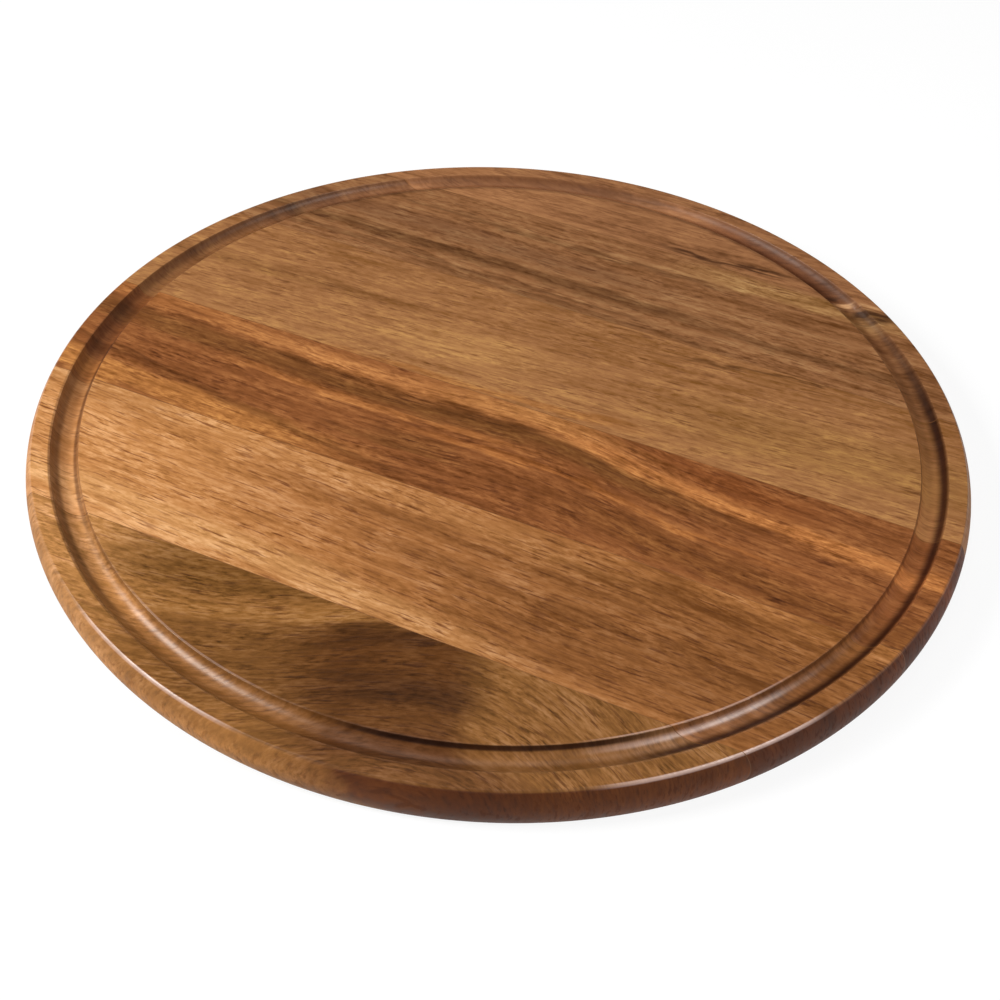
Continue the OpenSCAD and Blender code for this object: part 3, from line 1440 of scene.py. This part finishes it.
        # Painted light on the rounded side, strongest towards its foot and weaker under the painted shade
        lit = canvas.times(
            wear["Side"], canvas.rising(flow["Along"], *self.lit_along),
            canvas.between(canvas.falling(flow["Depth"], *self.lit_heights), *self.lit_low),
            canvas.between(shade_place, *self.lit_stained), finish.side_light)
        colour = canvas.mix(lit, colour, self.lit_colour, "MULTIPLY")
        # Painted shade on the rounded side from side_from rightwards
        side_shade_share = canvas.times(wear["Side"], shade_place, finish.side_stain)
        colour = canvas.mix(side_shade_share, colour, self.stain_colour, "MULTIPLY")
        for layer in self.layers:
            share = canvas.times(wear[layer.mask], layer.share)
            colour = canvas.mix(share, colour, layer.factor, "MULTIPLY")
        # Painted highlight where the lamps shine on the edges and the groove
        return canvas.mix(canvas.times(wear["Gleam"], self.gleam_share), colour, self.gleam_colour)


@dataclass(frozen=True)
class GlueFinish:
    """Cured glue, sanded flush and darkened by the oil, with the fibres' smear in it.

    Attributes:
        name: The material's name.
        dark: Display colour of the plain glue.
        light: Display colour of the smear.
        smears: How many smears a metre has along X, Y and Z.
        smear_tones: Values of the noise between which the smear sets in.
        level: How far the surface faces up where the smear sets in and where it is full.
        roughness: How matt the plain glue and the smear are.
        specular: How much it reflects.
    """

    name: str = "glue_film"
    dark: str = "6b4526"
    light: str = "8a5c34"
    smears: tuple[float, float, float] = (60.0, 900.0, 400.0)
    smear_tones: Span = (0.3, 0.7)
    level: Span = (0.4, 0.8)
    roughness: Span = (0.4, 0.55)
    specular: float = 0.3

    def material(self) -> bpy.types.Material:
        """Makes the glue's material.

        Returns:
            The material.
        """
        material, canvas = new_material(self.name)
        coordinates = canvas.add("TexCoord").outputs
        drawn = canvas.add(
            "VectorMath", {0: coordinates["Object"], 1: self.smears}, operation="MULTIPLY").outputs[0]
        smear = canvas.stretch(canvas.noise(drawn, detail=3.0, roughness=0.6), *self.smear_tones)
        facing_z = canvas.split(coordinates["Normal"])[2]
        level = canvas.rising(canvas.math("ABSOLUTE", facing_z), *self.level)
        plain = linear_colour(self.dark)
        smeared = canvas.mix(smear, plain, linear_colour(self.light))
        shader = canvas.add("BsdfPrincipled", {
            "Base Color": canvas.mix(level, plain, smeared),
            "Roughness": canvas.between(smear, *self.roughness), "Specular IOR Level": self.specular,
        })
        canvas.add("OutputMaterial", {"Surface": shader.outputs[0]})
        return material


FINISHES = {
    "front_stave": WoodFinish(
        "olive_brown_oiled", "5d3a14", "8f5f2f", "a97849", seed=2.0,
        bump=GrainBump(42.0, 45.0, 65.0, -120.0, 400.0),
        bands=0.1, streaks=0.1, mottle=0.14, lines=0.03, flecks=0.38, pores=0.5,
        side_stain=1.0, side_from=26.0, side_light=0.85,
        marks=(
            Streak("c48a50", 0.8, -125.0, 40.0, end=-72.0, end_border=22.0),
            Streak("6d461b", 0.65, -112.0, 9.5, start=-80.0, end=5.0, border=3.0, end_border=15.0),
            Streak("9c6a32", 0.3, -129.0, 3.5, start=-95.0, end=10.0, border=3.0, end_border=12.0),
            Streak("6b431c", 0.65, -150.0, 16.0, start=-45.0, end=45.0, border=6.0, start_border=25.0,
                   end_border=5.0, slant=-0.35),
            Streak("57300f", 0.85, -160.0, 26.0, start=-6.0, end=41.0, border=6.0, start_border=14.0,
                   end_border=5.0, slant=-0.35),
            Streak("3b1f0b", 0.62, -161.5, 5.0, start=5.0, end=44.0, border=4.0, end_border=6.0),
            Streak("3b1f0b", 0.5, -139.0, 3.5, start=0.0, end=27.0, border=3.0, end_border=6.0),
            Streak("5c3418", 0.65, -186.0, 9.0, start=8.0, end=80.0, border=5.0, start_border=10.0),
            Streak("6e4522", 0.25, -160.0, 40.0, start=45.0, border=6.0, start_border=25.0),
        )),
    "tan_stave": WoodFinish(
        "tan_oiled", "7d4b1f", "ac713e", "ca905c", seed=9.0, tilt=-0.05, drift=-0.3, slope_across=-0.1,
        bands=0.14, streaks=0.18, mottle=0.12, lines=0.08, flecks=0.26, pores=0.6, side_stain=1.0,
        marks=(
            Streak("ca8c52", 0.58, -75.0, 60.0, end=-55.0, end_border=45.0),
            Streak("87542b", 0.7, -72.0, 26.0, start=15.0, border=8.0, start_border=45.0),
            Streak("a0673a", 0.35, -66.0, 16.0, start=-65.0, end=35.0, border=8.0, end_border=25.0),
            Streak("a8703e", 0.6, -55.0, 7.0, end=-95.0, border=4.0),
            Streak("daa267", 0.5, -98.0, 5.0, end=25.0, border=4.0, end_border=50.0),
            Streak("c88e56", 0.3, -53.5, 4.0, end=65.0, border=4.0, end_border=30.0),
            Streak("825129", 0.45, -62.0, 2.5, start=-45.0, border=2.5, start_border=30.0),
            Streak("7d4e28", 0.45, -73.5, 3.5, start=-10.0, border=2.5, start_border=30.0),
            Streak("7d4e28", 0.4, -82.5, 2.5, start=15.0, end=130.0, border=2.0, start_border=25.0),
        )),
    "red_stave": WoodFinish(
        "red_brown_oiled", "5c300f", "8b532c", "ad703f", seed=17.0, tilt=-0.04,
        bump=GrainBump(7.0, 20.0, 45.0, -10.0, 60.0),
        bands=0.15, streaks=0.2, mottle=0.1, lines=0.06, flecks=0.25, side_stain=1.0,
        marks=(
            Streak("be7a42", 0.35, -1.5, 4.0, end=-95.0, border=2.0),
            Streak("be7c46", 0.65, -4.0, 4.6, start=-85.0, end=60.0, border=3.0, end_border=30.0),
            Streak("c88a4e", 0.4, -2.0, 4.0, start=-18.0, end=30.0, border=3.0),
            Streak("84451c", 0.45, 1.0, 5.0, start=55.0, end=108.0, border=2.5, start_border=25.0),
            Streak("c07a42", 0.8, -8.0, 3.4, start=28.0, border=1.8, start_border=25.0),
            Streak("6c421e", 0.65, -13.4, 4.6, end=80.0, border=3.0, end_border=25.0),
            Streak("583412", 0.25, -13.0, 2.0, start=-75.0, end=52.0, border=1.8),
            Streak("bc7840", 0.5, -20.3, 1.5, start=-95.0, end=15.0, border=1.0),
            Streak("b46e36", 0.4, -25.5, 1.2, start=-20.0, end=110.0, border=1.0),
            Streak("c48244", 0.6, -45.0, 5.5, end=-48.0, border=2.5, end_border=35.0),
            Streak("6a3e18", 0.45, -35.0, 6.0, start=40.0, border=4.0, start_border=30.0),
            Streak("5a3414", 0.4, -30.5, 3.2, start=-36.0, end=-8.0, border=2.0, start_border=8.0,
                   end_border=8.0),
            Streak("54300f", 0.5, -34.5, 1.2, start=-45.0, end=-5.0, border=1.0),
            Streak("5c3414", 0.45, -47.6, 1.5, end=-18.0, lean=-0.1, border=1.2),
        )),
    "golden_stave": WoodFinish(
        "golden_oiled", "7c4e21", "9f6c42", "b9854f", seed=29.0, tilt=0.05, drift=-0.12, slope_across=-0.25,
        bands=0.16, streaks=0.17, mottle=0.12, lines=0.04, flecks=0.27, pores=0.45,
        marks=(
            Streak("7a4e28", 0.5, 43.0, 2.5, end=-55.0, border=2.5),
            Streak("b88450", 0.5, 29.0, 7.0, start=-50.0, end=0.0, border=5.0),
            Streak("936636", 0.5, 25.0, 12.0, start=55.0, border=8.0, start_border=30.0),
            Streak("5b3618", 0.65, 50.3, 0.8, start=40.0, end=110.0, lean=0.1, border=0.7),
            Streak("b27238", 0.45, 9.0, 2.0, end=40.0, border=1.5),
        )),
    "brown_stave": WoodFinish(
        "brown_oiled", "633915", "95643e", "ad7e52", seed=37.0, drift=-0.15,
        bands=0.16, streaks=0.19, mottle=0.12, lines=0.06, flecks=0.25, pores=0.45,
        marks=(
            Streak("69422a", 0.45, 92.0, 5.0, end=20.0, border=4.0, end_border=30.0),
            Streak("5c391c", 0.6, 80.0, 3.2, end=45.0, border=2.0),
            Streak("5a361a", 0.45, 71.5, 1.5, end=25.0, border=1.0),
            Streak("5a361a", 0.5, 104.0, 1.4, start=-90.0, end=45.0, border=1.0),
            Streak("5c391c", 0.5, 78.0, 2.5, start=50.0, end=125.0, border=1.5),
            Streak("b68853", 0.6, 110.0, 4.5, start=35.0, end=112.0, border=2.5),
            Streak("5c391c", 0.4, 67.0, 1.6, start=-65.0, end=60.0, border=1.2),
            Streak("4a2a15", 0.9, 114.0, 2.2, start=94.0, end=110.0, border=1.4, start_border=2.0,
                   end_border=4.0),
            Streak("d8a878", 0.8, 116.0, 0.9, start=84.0, end=89.5, border=0.5, start_border=1.0,
                   end_border=1.5, frayed=False),
        )),
    "back_stave": WoodFinish(
        "russet_oiled", "673d1c", "9c6943", "b37e51", seed=51.0, tilt=0.02, drift=-0.25,
        bands=0.15, streaks=0.18, mottle=0.14, lines=0.04, flecks=0.2, pores=0.4,
        marks=(
            Streak("b47c50", 0.5, 128.0, 14.0, end=-40.0, end_border=35.0),
            Streak("ffcc96", 1.0, 116.4, 0.9, start=85.5, end=92.5, border=0.5, start_border=1.5,
                   end_border=1.5, frayed=False),
            Streak("cc9a6a", 0.7, 116.3, 0.7, start=95.0, end=103.0, border=0.5, start_border=1.5,
                   end_border=2.0, frayed=False),
            Streak("4a2a15", 0.7, 119.3, 1.0, start=82.0, end=86.5, border=0.8, start_border=1.5,
                   end_border=1.5, frayed=False),
            Streak("5c3419", 0.4, 120.0, 3.0, start=22.0, end=45.0, border=2.5),
            Streak("442410", 0.8, 120.2, 1.1, start=18.0, end=64.0, border=0.8, start_border=8.0,
                   end_border=10.0),
        )),
}


@dataclass(frozen=True)
class PhotoCamera:
    """The camera, as it stood to the board.

    Attributes:
        focal_pixels: Focal length in pixels of a picture of the given size.
        picture_size: Width and height of that picture in pixels.
        distance: From the middle of the board's top face.
        azimuth: Degrees from the board's front, towards its right end.
        elevation: Degrees above the top face.
        roll: Degrees by which the camera leans.
        aim_right: How far right of the picture's middle the board's middle lies, in pixels.
        aim_up: How far above the board's middle the picture's middle lies, in pixels.
        sensor: Width of the camera's sensor.
        clip_share: Nearest distance that it sees, as a share of its own.
        clip_end: Farthest distance that it sees, in metres.
    """

    focal_pixels: float = 1577.06
    picture_size: float = 1000.0
    distance: float = 542.3
    azimuth: float = 22.0
    elevation: float = 40.394
    roll: float = 2.998
    aim_right: float = -1.84
    aim_up: float = -86.77
    sensor: float = 36.0
    clip_share: float = 0.01
    clip_end: float = 100.0

    def build(self, target: Vector) -> bpy.types.Object:
        """Makes the camera and hands it to the scene.

        Args:
            target: The middle of the board's top face, in metres.

        Returns:
            The camera.
        """
        back = direction(self.azimuth, self.elevation)
        right = direction(self.azimuth + 90, 0.0)
        up = back.cross(right)
        aim = (up * self.aim_up - right * self.aim_right) / self.focal_pixels
        forward = (aim - back).normalized()
        flat_right = forward.cross(Vector((0, 0, 1))).normalized()
        flat_up = flat_right.cross(forward)
        lean = math.radians(self.roll)
        camera_right = flat_right * math.cos(lean) + flat_up * math.sin(lean)
        camera_up = flat_up * math.cos(lean) - flat_right * math.sin(lean)
        data = bpy.data.cameras.new("camera")
        data.sensor_width = self.sensor
        data.lens = self.focal_pixels / self.picture_size * self.sensor
        data.clip_start = self.distance * MM * self.clip_share
        data.clip_end = self.clip_end
        camera = placed("camera", data)
        turned = Matrix((camera_right, camera_up, -forward)).transposed().to_4x4()
        camera.matrix_world = Matrix.Translation(target + back * self.distance * MM) @ turned
        bpy.context.scene.camera = camera
        return camera


@dataclass(frozen=True)
class SoftBox:
    """A rectangular studio lamp with a diffuser.

    Attributes:
        name: Its name.
        azimuth: Degrees from the camera's side of the board, towards its right end.
        elevation: Degrees above the board.
        distance: From the board, in metres.
        width: Its width, in metres.
        height: Its height, in metres.
        power: In watts.
    """

    name: str
    azimuth: float
    elevation: float
    distance: float
    width: float
    height: float
    power: float

    def build(self, target: Vector) -> bpy.types.Object:
        """Makes the lamp, turned towards the board.

        Args:
            target: The point that it lights, in metres.

        Returns:
            The lamp.
        """
        away = direction(self.azimuth, self.elevation)
        data = bpy.data.lights.new(self.name, "AREA")
        data.shape = "RECTANGLE"
        data.size = self.width
        data.size_y = self.height
        data.energy = self.power
        lamp = placed(self.name, data)
        turned = away.to_track_quat("Z", "Y").to_matrix().to_4x4()
        lamp.matrix_world = Matrix.Translation(target + away * self.distance) @ turned
        return lamp


@dataclass(frozen=True)
class Studio:
    """A pale floor, a dim room and three soft lamps.

    Attributes:
        camera: The camera.
        floor_reach: How far the floor reaches from the board's middle, in metres.
        floor_drop: How far under the board it lies, in metres.
        floor_grey: How much light it bounces.
        floor_glow: How bright it is to the camera and in reflections.
        sky_high: How bright the room is overhead.
        sky_low: How bright it is at the horizon.
        sky_fade: Rise of a direction between which the one fades into the other.
    """

    camera: PhotoCamera = PhotoCamera()
    floor_reach: float = 8.0
    floor_drop: float = 0.0002
    floor_grey: float = 0.18
    floor_glow: float = 0.85
    sky_high: float = 0.06
    sky_low: float = 0.2
    sky_fade: Span = (0.05, 0.5)

    def lamps(self) -> tuple[SoftBox, ...]:
        """The lamps, placed round the camera's own azimuth."""
        facing = self.camera.azimuth
        return (
            SoftBox("left_softbox", facing - 78, 35, 1.2, 0.5, 0.5, 15.5),
            SoftBox("right_softbox", facing + 57, 38, 1.2, 0.32, 0.32, 6.9),
            SoftBox("overhead_softbox", facing + 180, 80, 1.3, 0.8, 0.8, 2.5),
        )

    def build(self, target: Vector) -> None:
        """Makes the camera, the lamps, the floor and the room's light.

        Args:
            target: The middle of the board's top face, in metres.
        """
        bpy.context.scene.view_settings.view_transform = "Standard"
        self.camera.build(target)
        for lamp in self.lamps():
            lamp.build(target)
        self.floor()
        self.room_light()

    def floor(self) -> bpy.types.Object:
        """A pale floor that is white to the camera and in reflections, and grey to the light it bounces.

        Returns:
            The floor.
        """
        reach = self.floor_reach
        corners = [(-reach, -reach), (reach, -reach), (reach, reach), (-reach, reach)]
        mesh = bpy.data.meshes.new("floor")
        mesh.from_pydata([(x, y, -self.floor_drop) for x, y in corners], [], [(0, 1, 2, 3)])
        material, canvas = new_material("pale_floor")
        rays = canvas.add("LightPath").outputs
        seen = canvas.math("MINIMUM", 1.0, canvas.sum(
            rays["Is Camera Ray"], rays["Is Glossy Ray"], rays["Is Transmission Ray"]))
        glow = canvas.add("Emission", {"Strength": canvas.times(seen, self.floor_glow)})
        matte = canvas.add("BsdfDiffuse", {"Color": (self.floor_grey,) * 3 + (1.0,)})
        both = canvas.add("AddShader", {0: matte.outputs[0], 1: glow.outputs[0]})
        canvas.add("OutputMaterial", {"Surface": both.outputs[0]})
        mesh.materials.append(material)
        floor = placed("floor", mesh)
        return floor

    def room_light(self) -> None:
        """Dim, neutral light from all round, paler towards the horizon."""
        world = bpy.data.worlds.new("room")
        world.use_nodes = True
        canvas = NodeCanvas(world.node_tree)
        direction = canvas.add("TexCoord").outputs["Generated"]
        fade = canvas.rising(canvas.split(direction)[2], *self.sky_fade)
        level = canvas.between(fade, self.sky_low, self.sky_high)
        light = canvas.add("Background", {"Color": (1.0, 1.0, 1.0, 1.0), "Strength": level})
        canvas.add("OutputWorld", {"Surface": light.outputs[0]})
        bpy.context.scene.world = world


@dataclass(frozen=True)
class ServingBoard:
    """The whole board: six staves and the five glue films between them.

    Attributes:
        section: The section that it is turned to.
        staves: Nodes of the staves, from the front to the back.
        films: Nodes of the glue films, from the front to the back.
    """

    section: BoardSection
    staves: tuple[str, ...] = (
        "front_stave", "tan_stave", "red_stave", "golden_stave", "brown_stave", "back_stave")
    films: tuple[str, ...] = (
        "glue_front_tan", "glue_tan_red", "glue_red_golden", "glue_golden_brown", "glue_brown_back")

    @staticmethod
    def slots() -> dict[str, str]:
        """The record's material slot of each node."""
        return {part["node"]: part["material_slot"] for part in frame["record"]["subparts"]}

    def build(self) -> list[bpy.types.Object]:
        """Makes every piece of the board.

        Returns:
            The pieces, staves first.
        """
        shop = WoodShop(
            self.section, grain_flow_group(), wood_figure_group(), streak_band_group(),
            TurnedWearAndShade(self.section).build())
        slots = self.slots()
        rims = {self.staves[0]: RimSide.FRONT, self.staves[-1]: RimSide.BACK}
        pieces = []
        for node in self.staves:
            low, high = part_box(node)
            edges = (low.y / MM, high.y / MM)
            if node in rims:
                stave = RimStave(node, slots[node], self.section, *edges, rim_side=rims[node])
            else:
                stave = BoardPiece(node, slots[node], self.section, *edges)
            pieces.append(stave.build(shop.material(FINISHES[node], *edges)))
        glue = GlueFinish().material()
        for node in self.films:
            low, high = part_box(node)
            film = BoardPiece(node, slots[node], self.section, low.y / MM, high.y / MM, steps=1)
            pieces.append(film.build(glue))
        return pieces


def main() -> None:
    """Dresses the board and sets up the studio."""
    logging.basicConfig(level=logging.INFO, format="%(name)s: %(message)s")
    low, high = CAD_BOX
    radius = min(high.x, high.y, -low.x, -low.y) / MM
    section = BoardSection(radius=radius, thickness=(high.z - low.z) / MM)
    pieces = ServingBoard(section).build()
    Studio().build(Vector((0.0, 0.0, high.z)))
    log.info("%d pieces", len(pieces))
    bpy.context.view_layer.update()


if __name__ == "__main__":
    main()
